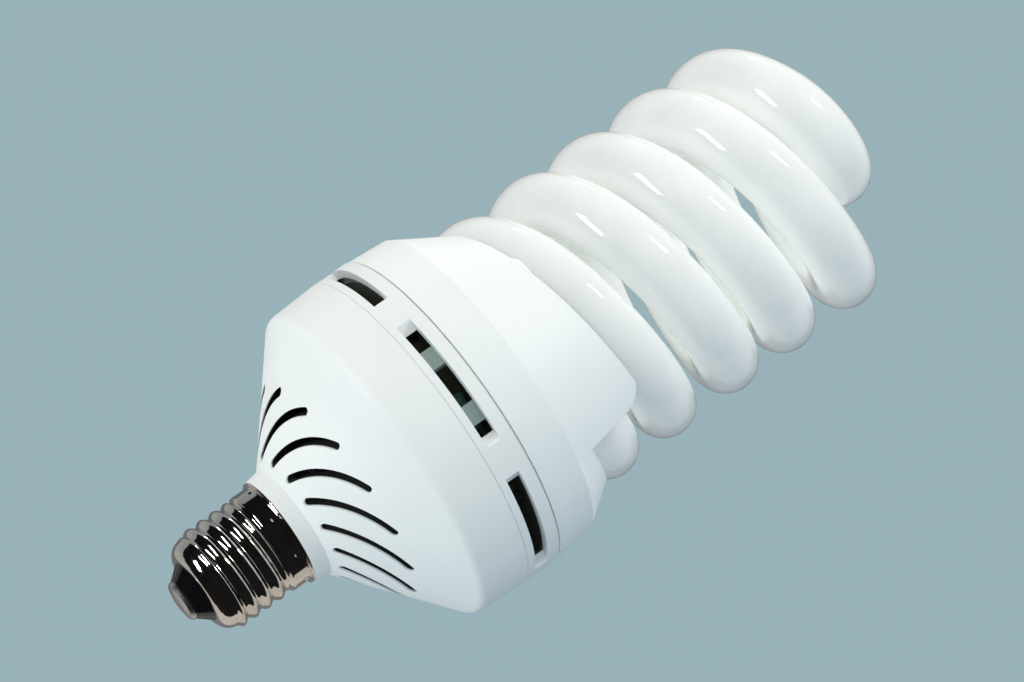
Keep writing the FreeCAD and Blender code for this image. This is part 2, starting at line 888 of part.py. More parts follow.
def pin_place(strand, side):
    """A pin stands on the board a little beyond the end of its strand."""
    angle = exit_angle - inner_arc - number("pin_arc") + 180 * strand
    return polar(coil_radius + side * lead_offset, angle, pin_top)


def filament_lead(strand, side):
    place, way = tube_ends[strand]
    outward = Vector(place.x, place.y, 0).normalize()
    start = place + outward * (side * lead_offset)
    path = [(start, way * -1), (pin_place(strand, side), Vector(0, 0, -1))]
    return bent_tube(path, number("filament_lead_radius"))


def wrap_pin(strand, side):
    half = number("pin_radius")
    corner = pin_place(strand, side) - Vector(half, half, number("pin_length"))
    return Part.makeBox(2 * half, 2 * half, number("pin_length"), corner)


ends = [(strand, side) for strand in (0, 1) for side in (-1, 1)]
new_feature("filament_leads", Part.makeCompound([filament_lead(*end) for end in ends]))
new_feature("wrap_pins", Part.makeCompound([wrap_pin(*end) for end in ends]))

# Ballast board and the parts that hang from it

board = doc.addObject("Part::Cylinder", "BoardDisc")
board.Label = "ballast_board"
board.Radius = board_radius.number
board.setExpression("Radius", board_radius.formula)
board.Height = number("board_wall")
board.setExpression("Height", "Sizes.board_wall")
board.Placement = Placement(Vector(0, 0, board_bottom.number), Rotation())
sub_parts.append(board)


def inset(alias):
    """The distance from the axis of a place this far in from the board's edge."""
    return board_radius.number - number(alias)


def hung(across, along, height):
    """A place under the board, at the low end of a part of this height."""
    return Vector(across, along, board_bottom.number - height)


def hung_box(width, depth, height, across, along):
    return Part.makeBox(width, depth, height, hung(across - width / 2, along - depth / 2, height))


capacitor_radius = size("capacitor_radius")
capacitor_length = size("capacitor_length")
groove_middle = capacitor_length - size("groove_place")
capacitor = new_body("bulk_capacitor")
turned(capacitor, "Can", [
    (0, 0),
    (capacitor_radius - size("capacitor_round"), 0),
    (capacitor_radius, size("capacitor_round")),
    (capacitor_radius, groove_middle - size("groove_depth")),
    (capacitor_radius - size("groove_depth"), groove_middle),
    (capacitor_radius, groove_middle + size("groove_depth")),
    (capacitor_radius, capacitor_length),
    (0, capacitor_length),
])
capacitor_along = number("lead_radius") + number("capacitor_gap") + capacitor_radius.number
capacitor.Placement = Placement(hung(0, capacitor_along, capacitor_length.number), Rotation())

choke_width = number("choke_width")
choke_depth = number("choke_depth")
choke_height = number("choke_height")
choke_leg = number("choke_leg")
choke_across = -choke_width / 2 - number("choke_gap")
choke_along = -choke_depth / 2 - number("winding_bulge")


def choke_core():
    """Two E halves of ferrite that meet around the bobbin."""
    block = hung_box(choke_width, choke_depth, choke_height, choke_across, choke_along)
    gap = (choke_width - 4 * choke_leg) / 2
    opening = choke_height - 2 * choke_leg
    for side in (-1, 1):
        centre = choke_across + side * (choke_leg + gap / 2)
        corner = Vector(centre - gap / 2, choke_along - choke_depth / 2,
                        board_bottom.number - choke_leg - opening)
        block = block.cut(Part.makeBox(gap, choke_depth, opening, corner))
    return block


def choke_winding():
    """The taped winding around the middle leg."""
    gap = (choke_width - 4 * choke_leg) / 2
    opening = choke_height - 2 * choke_leg
    fit = number("winding_fit")
    width = 2 * (choke_leg + gap - fit)
    depth = choke_depth + 2 * number("winding_bulge")
    height = opening - 2 * fit
    low = board_bottom.number - choke_leg - opening + fit
    coil = Part.makeBox(width, depth, height,
                        Vector(choke_across - width / 2, choke_along - depth / 2, low))
    coil = coil.makeFillet(number("winding_round"), [edge for edge in coil.Edges
                                                    if abs(edge.Length - height) < 1e-6])
    leg = Part.makeBox(2 * choke_leg, choke_depth, height,
                       Vector(choke_across - choke_leg, choke_along - choke_depth / 2, low))
    return coil.cut(leg)


new_feature("choke_core", choke_core())
new_feature("choke_winding", choke_winding())


def transistor(across, along):
    """A moulded body with a metal tab, on three legs."""
    width = number("transistor_width")
    legs = number("transistor_legs")
    height = number("transistor_height")
    body = hung_box(width, number("transistor_depth"), height, across, along)
    body.translate(Vector(0, 0, -legs))
    pieces = []
    for step in (-1, 0, 1):
        pieces.append(hung_box(number("leg_width"), number("leg_depth"), legs,
                               across + step * number("leg_pitch"), along))
    tab = hung_box(width, number("transistor_tab"), number("transistor_depth"), across,
                   along - number("transistor_depth") / 2 + number("transistor_tab") / 2)
    tab.translate(Vector(0, 0, -legs - height))
    return body.multiFuse(pieces + [tab])


transistor_step = number("transistor_width") + number("transistor_gap")
new_feature("power_transistors", Part.makeCompound([
    transistor(number("transistor_across") + step * transistor_step, -inset("transistor_inset"))
    for step in (0, 1)]))


def film_capacitor(across, along, turn):
    """A dipped block with soft edges, standing on the board."""
    width = number("film_width")
    depth = number("film_depth")
    height = number("film_height")
    block = hung_box(width, depth, height, 0, 0)
    block = block.makeFillet(number("film_round"), [edge for edge in block.Edges
                                                    if abs(edge.Length - height) < 1e-6])
    block.rotate(Vector(0, 0, 0), Vector(0, 0, 1), turn)
    block.translate(Vector(across, along, 0))
    return block


film_angles = (number("film_back_angle"), 180 - number("film_back_angle"))
film_places = [polar(inset("film_back_inset"), angle, 0) for angle in film_angles]
new_feature("film_capacitors", Part.makeCompound(
    [film_capacitor(inset("film_side_inset"), number("film_side_along"), number("film_side_turn"))]
    + [film_capacitor(place.x, place.y, angle + 90) for place, angle in zip(film_places, film_angles)]))


def lying(radius, length, across, along, turn):
    """A round part that lies along the board, just clear of it."""
    low = board_bottom.number - number("lying_gap") - radius
    way = polar(1, turn, 0)
    return Part.makeCylinder(radius, length, Vector(across, along, low) - way * (length / 2), way)


diode_step = 2 * number("diode_radius") + number("diode_gap")
diode_count = int(number("diode_count"))
new_feature("rectifier_diodes", Part.makeCompound([
    lying(number("diode_radius"), number("diode_length"), inset("diode_inset"),
          diode_step * (index - (diode_count - 1) / 2), 0) for index in range(diode_count)]))
new_feature("fuse_resistor", lying(number("fuse_radius"), number("fuse_length"),
                                   number("fuse_across"), -inset("fuse_inset"), number("fuse_turn")))


def upright_disc(radius, thickness, across, along, turn):
    """A disc that stands on its edge under the board."""
    middle = Vector(across, along, board_bottom.number - number("lying_gap") - radius)
    way = polar(1, turn + 90, 0)
    return Part.makeCylinder(radius, thickness, middle - way * (thickness / 2), way)


new_feature("thermistor", upright_disc(number("thermistor_radius"), number("thermistor_wall"), 0,
                                       -inset("thermistor_inset"), number("thermistor_turn")))


def drive_toroid():
    place = (number("toroid_across"), -number("toroid_along"), 0)
    wall = number("toroid_wall")
    ring = upright_disc(number("toroid_radius"), wall, *place)
    middle = board_bottom.number - number("lying_gap") - number("toroid_radius")
    bore = Part.makeCylinder(number("toroid_bore"), 3 * wall, Vector(
        number("toroid_across"), -number("toroid_along") - 1.5 * wall, middle), Vector(0, 1, 0))
    return ring.cut(bore)


new_feature("drive_toroid", drive_toroid())

emi_choke = new_body("emi_choke")
drum_height = size("drum_height")
drum_flange = size("drum_flange")
turned(emi_choke, "Drum", [
    (0, 0),
    (size("drum_radius"), 0),
    (size("drum_radius"), drum_flange),
    (size("drum_waist"), drum_flange),
    (size("drum_waist"), drum_height - drum_flange),
    (size("drum_radius"), drum_height - drum_flange),
    (size("drum_radius"), drum_height),
    (0, drum_height),
])
drum_place = polar(inset("drum_inset"), number("drum_angle"), 0)
emi_choke.Placement = Placement(hung(drum_place.x, drum_place.y, drum_height.number), Rotation())

# Leads from the cap to the board

lead_radius = number("lead_radius")
rivet_top = insulator_top.number
centre_lead = doc.addObject("Part::Cylinder", "CentreLead")
centre_lead.Label = "centre_lead"
centre_lead.Radius = lead_radius
centre_lead.setExpression("Radius", "Sizes.lead_radius")
centre_lead.Height = board_bottom.number - rivet_top
centre_lead.Placement = Placement(Vector(0, 0, rivet_top), Rotation())
sub_parts.append(centre_lead)


def shell_lead():
    """Starts at the inside of the shell, passes under the neck and rises to the board."""
    low = neck_start.number - number("lead_drop")
    inside = neck_bore.number - lead_radius - number("lead_fit")
    outside = root_inner.number - number("lead_fit")
    bend = number("lead_bend")
    path = [
        (Vector(outside, 0, low), Vector(-1, 0, 0)),
        (Vector(inside + bend, 0, low), Vector(-1, 0, 0)),
        (Vector(inside, 0, low + bend), Vector(0, 0, 1)),
        (Vector(inside, 0, board_bottom.number), Vector(0, 0, 1)),
    ]
    return bent_tube(path, lead_radius)


new_feature("shell_lead", shell_lead())


def write_parts():
    os.makedirs("parts", exist_ok=True)
    doc.recompute()
    for item in doc.Objects:
        if "Invalid" in item.State or "Error" in item.State:
            raise RuntimeError(item.Label + " has failed")
    for part in sub_parts:
        shape = part.Shape
        if shape.isNull() or not shape.isValid():
            raise RuntimeError(part.Label + " has no sound shape")
    for part in sub_parts:
        part.Shape.exportStep(os.path.join("parts", part.Label + ".step"))
        print(part.Label, len(part.Shape.Solids), round(part.Shape.Volume, 2))


write_parts()
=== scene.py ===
import math

import bpy
from mathutils import Matrix, Vector


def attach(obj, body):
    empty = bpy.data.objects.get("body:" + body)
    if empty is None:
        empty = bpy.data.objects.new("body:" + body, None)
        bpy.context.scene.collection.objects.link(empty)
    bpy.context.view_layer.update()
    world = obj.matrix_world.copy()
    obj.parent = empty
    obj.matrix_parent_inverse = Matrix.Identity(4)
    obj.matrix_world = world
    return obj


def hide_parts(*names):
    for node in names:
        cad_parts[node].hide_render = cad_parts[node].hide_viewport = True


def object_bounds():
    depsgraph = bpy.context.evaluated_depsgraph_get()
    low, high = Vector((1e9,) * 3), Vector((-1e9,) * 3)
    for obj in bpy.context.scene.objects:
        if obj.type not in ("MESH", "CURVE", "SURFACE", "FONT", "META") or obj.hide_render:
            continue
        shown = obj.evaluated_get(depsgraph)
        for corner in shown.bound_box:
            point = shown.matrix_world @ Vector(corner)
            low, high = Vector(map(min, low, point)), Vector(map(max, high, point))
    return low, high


# A spiral energy saving bulb. Metres, with the axis along Z and the contact's tip at the origin.

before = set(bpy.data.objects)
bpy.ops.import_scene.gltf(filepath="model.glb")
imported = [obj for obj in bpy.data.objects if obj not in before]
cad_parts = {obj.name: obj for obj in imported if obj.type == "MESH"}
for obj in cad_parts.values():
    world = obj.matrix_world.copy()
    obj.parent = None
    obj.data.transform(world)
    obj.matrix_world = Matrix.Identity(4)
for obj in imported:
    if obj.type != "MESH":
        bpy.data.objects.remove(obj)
cad_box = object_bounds()
MM = 0.001

# Sizes that the CAD model has too

TUBE_RADIUS = 7.75 * MM
COIL_PITCH = 36.5 * MM
COIL_TOP = 189.5 * MM
COIL_LIFT = 0.85 * MM
COIL_RADIUS = 28.4 * MM
CROSSING_ANGLE = 240.5
EXIT_ANGLE = 130.0
STRAND_TURNS = 2 + (CROSSING_ANGLE - EXIT_ANGLE) / 360
INNER_ARC = 48.0
COLLAR_TOP = 33.5 * MM
COLLAR_TOP_RADIUS = 14.7 * MM
FUNNEL_SLOPE = 23.5 / 27.6
BAND_INNER = 41.0 * MM
COVER_SEAT = 79.5 * MM

# Depths behind the funnel's skin at which the painted shade starts and is full

PAINTED_SHADE_FROM = 0.35 * MM
PAINTED_SHADE_FULL = 0.6 * MM

# Colours, as linear light


def linear(red, green, blue):
    """A colour written as it looks on a screen, from 0 to 255, turned into linear light."""
    out = []
    for value in (red, green, blue):
        share = value / 255
        out.append(share / 12.92 if share <= 0.04045 else ((share + 0.055) / 1.055) ** 2.4)
    return (*out, 1.0)


BACKGROUND = linear(153, 178, 185)


# Materials


def new_material(name):
    material = bpy.data.materials.new(name)
    material.use_nodes = True
    return material, material.node_tree, material.node_tree.nodes["Principled BSDF"]


def noise_share(tree, scale, detail):
    """Procedural noise from 0 to 1 in the piece's own coordinates."""
    coordinates = tree.nodes.new("ShaderNodeTexCoord")
    noise = tree.nodes.new("ShaderNodeTexNoise")
    noise.inputs["Scale"].default_value = scale
    noise.inputs["Detail"].default_value = detail
    tree.links.new(coordinates.outputs["Object"], noise.inputs["Vector"])
    return noise.outputs["Fac"]


def add_bump(tree, shader, scale, strength, distance, detail=3.0):
    """A fine procedural unevenness that only the surface normal feels."""
    bump = tree.nodes.new("ShaderNodeBump")
    bump.inputs["Strength"].default_value = strength
    bump.inputs["Distance"].default_value = distance
    tree.links.new(noise_share(tree, scale, detail), bump.inputs["Height"])
    tree.links.new(bump.outputs["Normal"], shader.inputs["Normal"])


def vary(tree, shader, socket, noise_scale, low, high):
    """Lets a socket wander between two values over the surface."""
    span = tree.nodes.new("ShaderNodeMapRange")
    span.inputs["To Min"].default_value = low
    span.inputs["To Max"].default_value = high
    tree.links.new(noise_share(tree, noise_scale, 4.0), span.inputs["Value"])
    tree.links.new(span.outputs["Result"], shader.inputs[socket])


def vary_colour(tree, shader, noise_scale, first, second):
    """Lets the base colour drift between two colours over the surface."""
    ramp = tree.nodes.new("ShaderNodeValToRGB")
    ramp.color_ramp.elements[0].position = 0.35
    ramp.color_ramp.elements[0].color = first
    ramp.color_ramp.elements[1].position = 0.65
    ramp.color_ramp.elements[1].color = second
    tree.links.new(noise_share(tree, noise_scale, 5.0), ramp.inputs["Fac"])
    tree.links.new(ramp.outputs["Color"], shader.inputs["Base Color"])


def moulded(name, first, second, roughness, grain=900.0, strength=0.12, depth=0.00003):
    """Moulded plastic with a faint drift of colour, an even grain and a soft gloss."""
    material, tree, shader = new_material(name)
    vary_colour(tree, shader, 45.0, first, second)
    vary(tree, shader, "Roughness", 260.0, roughness - 0.04, roughness + 0.05)
    shader.inputs["IOR"].default_value = 1.5
    add_bump(tree, shader, grain, strength, depth)
    return material


def metal(name, first, second, roughness, grain=700.0, strength=0.06):
    """Metal with a gloss that is a little uneven."""
    material, tree, shader = new_material(name)
    shader.inputs["Metallic"].default_value = 1.0
    vary_colour(tree, shader, 180.0, first, second)
    vary(tree, shader, "Roughness", 420.0, roughness * 0.7, roughness * 1.5)
    add_bump(tree, shader, grain, strength, 0.00002)
    return material


def clear_glass(name, tint, roughness):
    material, tree, shader = new_material(name)
    shader.inputs["Base Color"].default_value = tint
    shader.inputs["Transmission Weight"].default_value = 1.0
    shader.inputs["IOR"].default_value = 1.5
    vary(tree, shader, "Roughness", 300.0, roughness * 0.5, roughness * 1.5)
    add_bump(tree, shader, 55.0, 0.05, 0.0002, 1.0)
    return material


def number_node(tree, operation, first, second=None):
    node = tree.nodes.new("ShaderNodeMath")
    node.operation = operation
    for socket, value in zip(node.inputs, (first, second)):
        if isinstance(value, (int, float)):
            socket.default_value = value
        elif value is not None:
            tree.links.new(value, socket)
    return node.outputs[0]


def shade_where(tree, shader, share, colour):
    """Paints shade: mixes a colour into the base colour by a share from 0 to 1."""
    painted = shader.inputs["Base Color"].links[0].from_socket
    mix = tree.nodes.new("ShaderNodeMixRGB")
    mix.inputs["Color2"].default_value = colour
    tree.links.new(share, mix.inputs["Fac"])
    tree.links.new(painted, mix.inputs["Color1"])
    tree.links.new(mix.outputs["Color"], shader.inputs["Base Color"])


def range_share(tree, value, start, end):
    """Turns a value between two ends into a share from 0 to 1."""
    share = tree.nodes.new("ShaderNodeMapRange")
    share.inputs["From Min"].default_value = start
    share.inputs["From Max"].default_value = end
    tree.links.new(value, share.inputs["Value"])
    return share.outputs["Result"]


def axis_distance(tree, split):
    across = number_node(tree, "MULTIPLY", split.outputs["X"], split.outputs["X"])
    along = number_node(tree, "MULTIPLY", split.outputs["Y"], split.outputs["Y"])
    return number_node(tree, "SQRT", number_node(tree, "ADD", across, along))


def split_place(tree):
    coordinates = tree.nodes.new("ShaderNodeTexCoord")
    split = tree.nodes.new("ShaderNodeSeparateXYZ")
    tree.links.new(coordinates.outputs["Object"], split.inputs["Vector"])
    return split


def coated_glass(name):
    """White powder under clear glass. The powder is matt and lets some light through, and the glass over
    it gives a sharp gloss. The rim gets painted green-grey shade, and the tube a faint painted glow."""
    material, tree, shader = new_material(name)
    vary_colour(tree, shader, 60.0, linear(224, 227, 225), linear(230, 232, 230))
    # Painted shade: a green-grey rim where the surface turns away from the view
    facing = tree.nodes.new("ShaderNodeLayerWeight")
    facing.inputs["Blend"].default_value = 0.5
    painted_rim_shade = range_share(tree, facing.outputs["Facing"], 0.80, 0.98)
    shade_where(tree, shader, number_node(tree, "MULTIPLY", painted_rim_shade, 0.45), linear(196, 214, 208))
    shader.inputs["Roughness"].default_value = 0.6
    shader.inputs["Specular IOR Level"].default_value = 0.2
    shader.inputs["Subsurface Weight"].default_value = 0.6
    shader.inputs["Subsurface Radius"].default_value = (1.0, 1.0, 0.95)
    shader.inputs["Subsurface Scale"].default_value = 9 * MM
    # Painted light: a faint glow in the tube's own colour that lifts its shade between the turns
    shader.inputs["Emission Color"].default_value = linear(233, 237, 231)
    shader.inputs["Emission Strength"].default_value = 0.11
    shader.inputs["Coat Weight"].default_value = 1.0
    shader.inputs["Coat IOR"].default_value = 1.5
    shader.inputs["Coat Roughness"].default_value = 0.03
    return material


def paint_shade_inside(material):
    """Paints shade on the funnel behind its skin, where no light reaches in the real one."""
    tree = material.node_tree
    split = split_place(tree)
    radius = axis_distance(tree, split)
    rise = number_node(tree, "MULTIPLY", number_node(tree, "SUBTRACT", radius, COLLAR_TOP_RADIUS),
                       FUNNEL_SLOPE)
    height = number_node(tree, "SUBTRACT", split.outputs["Z"], COLLAR_TOP)
    depth = range_share(tree, number_node(tree, "SUBTRACT", height, rise), PAINTED_SHADE_FROM, PAINTED_SHADE_FULL)
    inside = number_node(tree, "LESS_THAN", radius, BAND_INNER + 0.1 * MM)
    share = number_node(tree, "MULTIPLY", depth, inside)
    # Painted shade: near black inside the slots
    shade_where(tree, tree.nodes["Principled BSDF"], share, linear(24, 25, 26))
    return material


def paint_shade_below(material, height, colour):
    """Paints shade on the posts under the cover, as they stand in the dark of the housing."""
    tree = material.node_tree
    split = split_place(tree)
    share = number_node(tree, "LESS_THAN", split.outputs["Z"], height)
    shade_where(tree, tree.nodes["Principled BSDF"], share, colour)
    return material


WHITE_PLASTIC = moulded("white_moulding", linear(234, 238, 236), linear(238, 242, 239), 0.55)
# The funnel's plastic, with painted shade inside its slots
FUNNEL_PLASTIC = paint_shade_inside(
    moulded("funnel_moulding", linear(234, 238, 236), linear(238, 242, 239), 0.55))
# The cover's plastic, with painted shade on its posts below the seam
COVER_PLASTIC = paint_shade_below(
    moulded("cover_moulding", linear(238, 243, 241), linear(242, 246, 244), 0.55),
    COVER_SEAT, linear(150, 168, 163))
NICKEL = metal("bright_nickel", linear(214, 208, 202), linear(228, 224, 219), 0.06)
SOLDER = metal("dull_solder", linear(176, 178, 180), linear(205, 206, 207), 0.28, 380.0, 0.35)
BLACK_GLASS = moulded("black_glass", linear(7, 7, 9), linear(14, 14, 16), 0.10, 120.0, 0.10)
LAMP_GLASS = clear_glass("lamp_glass", linear(244, 251, 248), 0.02)
TUBE_GLASS = coated_glass("coated_tube")
SILICONE = moulded("silicone", linear(205, 206, 200), linear(224, 224, 219), 0.45)
BOARD = moulded("board", linear(78, 84, 74), linear(92, 98, 86), 0.6)
SLEEVE = moulded("capacitor_sleeve", linear(18, 22, 34), linear(26, 30, 44), 0.3)
FERRITE = moulded("ferrite", linear(48, 47, 46), linear(66, 64, 62), 0.55)
TAPE = moulded("winding_tape", linear(206, 176, 70), linear(222, 196, 98), 0.35)
TOROID = moulded("toroid_coat", linear(56, 92, 66), linear(70, 110, 82), 0.5)
TRANSISTOR = moulded("transistor_moulding", linear(30, 30, 31), linear(42, 42, 43), 0.5)
FILM = moulded("film_capacitor_dip", linear(150, 62, 36), linear(170, 76, 46), 0.25)
DIODE = moulded("diode_moulding", linear(24, 24, 25), linear(38, 38, 40), 0.45)
DRUM = moulded("drum_ferrite", linear(44, 44, 46), linear(62, 62, 64), 0.6)
FUSE = moulded("fuse_coat", linear(86, 134, 110), linear(100, 150, 126), 0.5)
DISC = moulded("thermistor_dip", linear(132, 84, 44), linear(150, 98, 56), 0.45)
RED_WIRE = moulded("red_insulation", linear(176, 34, 28), linear(192, 44, 38), 0.4)
BLACK_WIRE = moulded("black_insulation", linear(24, 24, 26), linear(36, 36, 38), 0.4)
TINNED = metal("tinned_wire", linear(196, 194, 190), linear(214, 212, 208), 0.22)

NODE_MATERIALS = {
    "centre_contact": SOLDER,
    "cap_insulator": BLACK_GLASS,
    "screw_shell": NICKEL,
    "lower_housing": FUNNEL_PLASTIC,
    "vent_ring": WHITE_PLASTIC,
    "upper_cover": COVER_PLASTIC,
    "spiral_tube": TUBE_GLASS,
    "seal_beads": SILICONE,
    "exhaust_tips": LAMP_GLASS,
    "filament_leads": TINNED,
    "wrap_pins": TINNED,
    "ballast_board": BOARD,
    "bulk_capacitor": SLEEVE,
    "choke_core": FERRITE,
    "choke_winding": TAPE,
    "drive_toroid": TOROID,
    "power_transistors": TRANSISTOR,
    "film_capacitors": FILM,
    "rectifier_diodes": DIODE,
    "emi_choke": DRUM,
    "fuse_resistor": FUSE,
    "thermistor": DISC,
    "centre_lead": RED_WIRE,
    "shell_lead": BLACK_WIRE,
}


def dress_nodes():
    for name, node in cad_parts.items():
        node.data.materials.clear()
        node.data.materials.append(NODE_MATERIALS[name])


# Mesh helpers


def make_piece(name, vertices, faces, material, smooth=True):
    mesh = bpy.data.meshes.new(name)
    mesh.from_pydata([tuple(v) for v in vertices], [], faces)
    mesh.validate()
    mesh.materials.append(material)
    if smooth:
        mesh.polygons.foreach_set("use_smooth", [True] * len(mesh.polygons))
    mesh.update()
    piece = bpy.data.objects.new(name, mesh)
    bpy.context.scene.collection.objects.link(piece)
    return piece


def grid_faces(rows, columns, first=0, flip=False):
    """Quads between rows of points that each close round."""
    faces = []
    for row in range(rows - 1):
        for column in range(columns):
            after = (column + 1) % columns
            low = first + row * columns
            quad = (low + column, low + after, low + columns + after, low + columns + column)
            faces.append(quad[::-1] if flip else quad)
    return faces


# The path of the glass tube, the same as in the CAD model

COIL_RISE = COIL_PITCH / (2 * math.pi)
HALF_CROSSING = math.pi * COIL_RADIUS / 2


def strand_start(strand):
    """Height at which a strand leaves its coil for the crossing. The second is lifted."""
    lift = COIL_LIFT / 2
    return COIL_TOP - COIL_PITCH / 8 + (lift if strand else -lift)


def strand_point(strand, arc):
    """A strand's centre, by the arc in degrees from where it leaves the cover."""
    turn = math.radians(EXIT_ANGLE + arc + 180 * strand)
    height = strand_start(strand) - COIL_PITCH * STRAND_TURNS + COIL_PITCH * arc / 360
    return Vector((COIL_RADIUS * math.cos(turn), COIL_RADIUS * math.sin(turn), height))


def crossing_point(share):
    """The crossing, two half circles of half the coil's radius that meet on the axis."""
    side = 0 if share <= 0.5 else 1
    from_coil = 2 * share if side == 0 else 2 * (1 - share)
    middle = math.radians(CROSSING_ANGLE + 180 * side)
    turn = middle + math.pi * from_coil
    half = COIL_RADIUS / 2
    lift = strand_start(1) - strand_start(0)
    height = strand_start(0) + lift * share * share * (3 - 2 * share)
    height += COIL_RISE / COIL_RADIUS * 2 * HALF_CROSSING * share * (1 - share)
    return Vector((half * (math.cos(middle) + math.cos(turn)),
                   half * (math.sin(middle) + math.sin(turn)), height))


TUBE_STEP = 2.2 * MM
TUBE_SIDES = 56


def tube_path():
    """One strand up, over the crossing and the other strand down."""
    arc_length = math.radians(1) * math.hypot(COIL_RADIUS, COIL_RISE)
    span = STRAND_TURNS * 360 + INNER_ARC
    arcs = int(span * arc_length / TUBE_STEP)
    first = [strand_point(0, -INNER_ARC + span * i / arcs) for i in range(arcs + 1)]
    second = [strand_point(1, -INNER_ARC + span * i / arcs) for i in range(arcs + 1)]
    crossing_steps = int(2 * HALF_CROSSING / TUBE_STEP)
    middle = [crossing_point(i / crossing_steps) for i in range(1, crossing_steps)]
    return first + middle + second[::-1]


def sweep(path, radius, sides):
    """Rings of points round a path, each turned as little as possible from the last."""
    rings = []
    normal = Vector((0, 0, 1))
    for index, place in enumerate(path):
        before = path[max(index - 1, 0)]
        after = path[min(index + 1, len(path) - 1)]
        way = (after - before).normalized()
        normal = (normal - way * normal.dot(way)).normalized()
        across = way.cross(normal)
        for side in range(sides):
            turn = 2 * math.pi * side / sides
            rings.append(place + (normal * math.cos(turn) + across * math.sin(turn)) * radius)
    return rings


def closed_tube(name, path, radius, sides, material):
    """A round tube along a path, closed by a flat face at each end."""
    points = sweep(path, radius, sides)
    count = len(path)
    faces = grid_faces(count, sides)
    faces.append(tuple(range(sides))[::-1])
    faces.append(tuple(range((count - 1) * sides, count * sides)))
    return make_piece(name, points, faces, material)


def make_spiral():
    """The glass spiral. It casts no shadow, as light passes through the real one."""
    tube = closed_tube("spiral_glass", tube_path(), TUBE_RADIUS, TUBE_SIDES, TUBE_GLASS)
    tube.visible_shadow = False
    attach(tube, "root")
    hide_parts("spiral_tube")


# The rolled screw shell

THREAD_PITCH = 3.629 * MM
THREAD_PHASE = 9.85 * MM
THREAD_LOW = 8.3 * MM
THREAD_HIGH = 23.9 * MM
THREAD_FADE = 1.6 * MM
THREAD_DEPTH = 1.0 * MM
THREAD_FULLNESS = 0.85
ROOT_RADIUS = 12.1 * MM
SHELL_WALL = 0.3 * MM
SHELL_COLUMNS = 176

# The shell's outline before its thread, as radius and height in millimetres

SHELL_PROFILE = (
    (8.1, 5.0), (8.6, 4.98), (9.2, 5.06), (9.8, 5.26), (10.4, 5.6), (10.95, 6.05), (11.4, 6.6),
    (11.75, 7.25), (11.98, 7.9), (12.1, 8.6), (12.1, 23.4), (12.3, 23.85), (12.7, 24.15),
    (13.0, 24.3), (13.1, 24.6), (13.1, 28.6), (13.25, 28.85), (13.75, 28.95), (14.0, 29.1),
    (14.0, 29.5), (13.2, 29.5),
)
DIMPLE_HEIGHT = 27.6 * MM
DIMPLE_ANGLES = tuple(300.0 + 45.0 * step for step in range(8))
DIMPLE_RADIUS = 0.85 * MM
DIMPLE_DEPTH = 0.32 * MM

# In millimetres: above the shoulder, rows of points stand close together

SHOULDER_END = 8.5
SHOULDER_STEPS = 3
ROW_STEP = 0.16
SKIRT_LOW = 24.6
SKIRT_HIGH = 28.6


def smooth_step(value):
    share = min(1.0, max(0.0, value))
    return share * share * (3 - 2 * share)


def thread_height(angle, height):
    """How far the rolled thread stands out of the shell, softly at both of its ends."""
    wave = 0.5 + 0.5 * math.cos(2 * math.pi * ((height - THREAD_PHASE) / THREAD_PITCH - angle / 360))
    start = smooth_step((height - THREAD_LOW) / THREAD_FADE)
    end = smooth_step((THREAD_HIGH - height) / THREAD_FADE)
    return THREAD_DEPTH * wave ** THREAD_FULLNESS * start * end


def dimple_depth(angle, height):
    """How far the skirt is pressed in, by the nearest of its dimples."""
    deepest = 0.0
    for middle in DIMPLE_ANGLES:
        turn = (angle - middle + 180) % 360 - 180
        away = math.hypot(math.radians(turn) * ROOT_RADIUS, height - DIMPLE_HEIGHT)
        deepest = max(deepest, 1 - (away / DIMPLE_RADIUS) ** 2)
    return DIMPLE_DEPTH * deepest


def profile_rows():
    """The shell's outline from its lip up, with rows close together on the thread."""
    rows = []
    for (radius, height), (next_radius, next_height) in zip(SHELL_PROFILE, SHELL_PROFILE[1:]):
        reach = math.hypot(next_radius - radius, next_height - height)
        steps = max(1, int(reach / ROW_STEP)) if next_height > SHOULDER_END else SHOULDER_STEPS
        for step in range(steps):
            share = step / steps
            rows.append((radius + (next_radius - radius) * share,
                         height + (next_height - height) * share))
    rows.append(SHELL_PROFILE[-1])
    return rows


def shell_point(radius, height, column):
    angle = 360 * column / SHELL_COLUMNS
    reach = radius * MM + thread_height(angle, height * MM)
    if SKIRT_LOW < height < SKIRT_HIGH:
        reach -= dimple_depth(angle, height * MM)
    turn = math.radians(angle)
    return Vector((reach * math.cos(turn), reach * math.sin(turn), height * MM))


def make_shell():
    """The rolled shell, a thin wall whose inside follows its outside."""
    columns = SHELL_COLUMNS
    rows = profile_rows()
    outside = [shell_point(radius, height, column)
               for radius, height in rows for column in range(columns)]
    inside = [point - Vector((point.x, point.y, 0)).normalized() * SHELL_WALL for point in outside]
    block = len(outside)
    last = block - columns
    faces = grid_faces(len(rows), columns) + grid_faces(len(rows), columns, block, True)
    for column in range(columns):
        after = (column + 1) % columns
        faces.append((after, column, block + column, block + after))
        faces.append((last + column, last + after, block + last + after, block + last + column))
    shell = make_piece("rolled_shell", outside + inside, faces, NICKEL)
    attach(shell, "root")
    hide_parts("screw_shell")


# Camera

LENS = 186.4
CAMERA_AZIMUTH = 35.23
CAMERA_ELEVATION = 14.78
CAP_PLACE = Vector((-75.5, 59.7, 1237.0)) * MM
CAP_BEHIND = 2.9 * MM


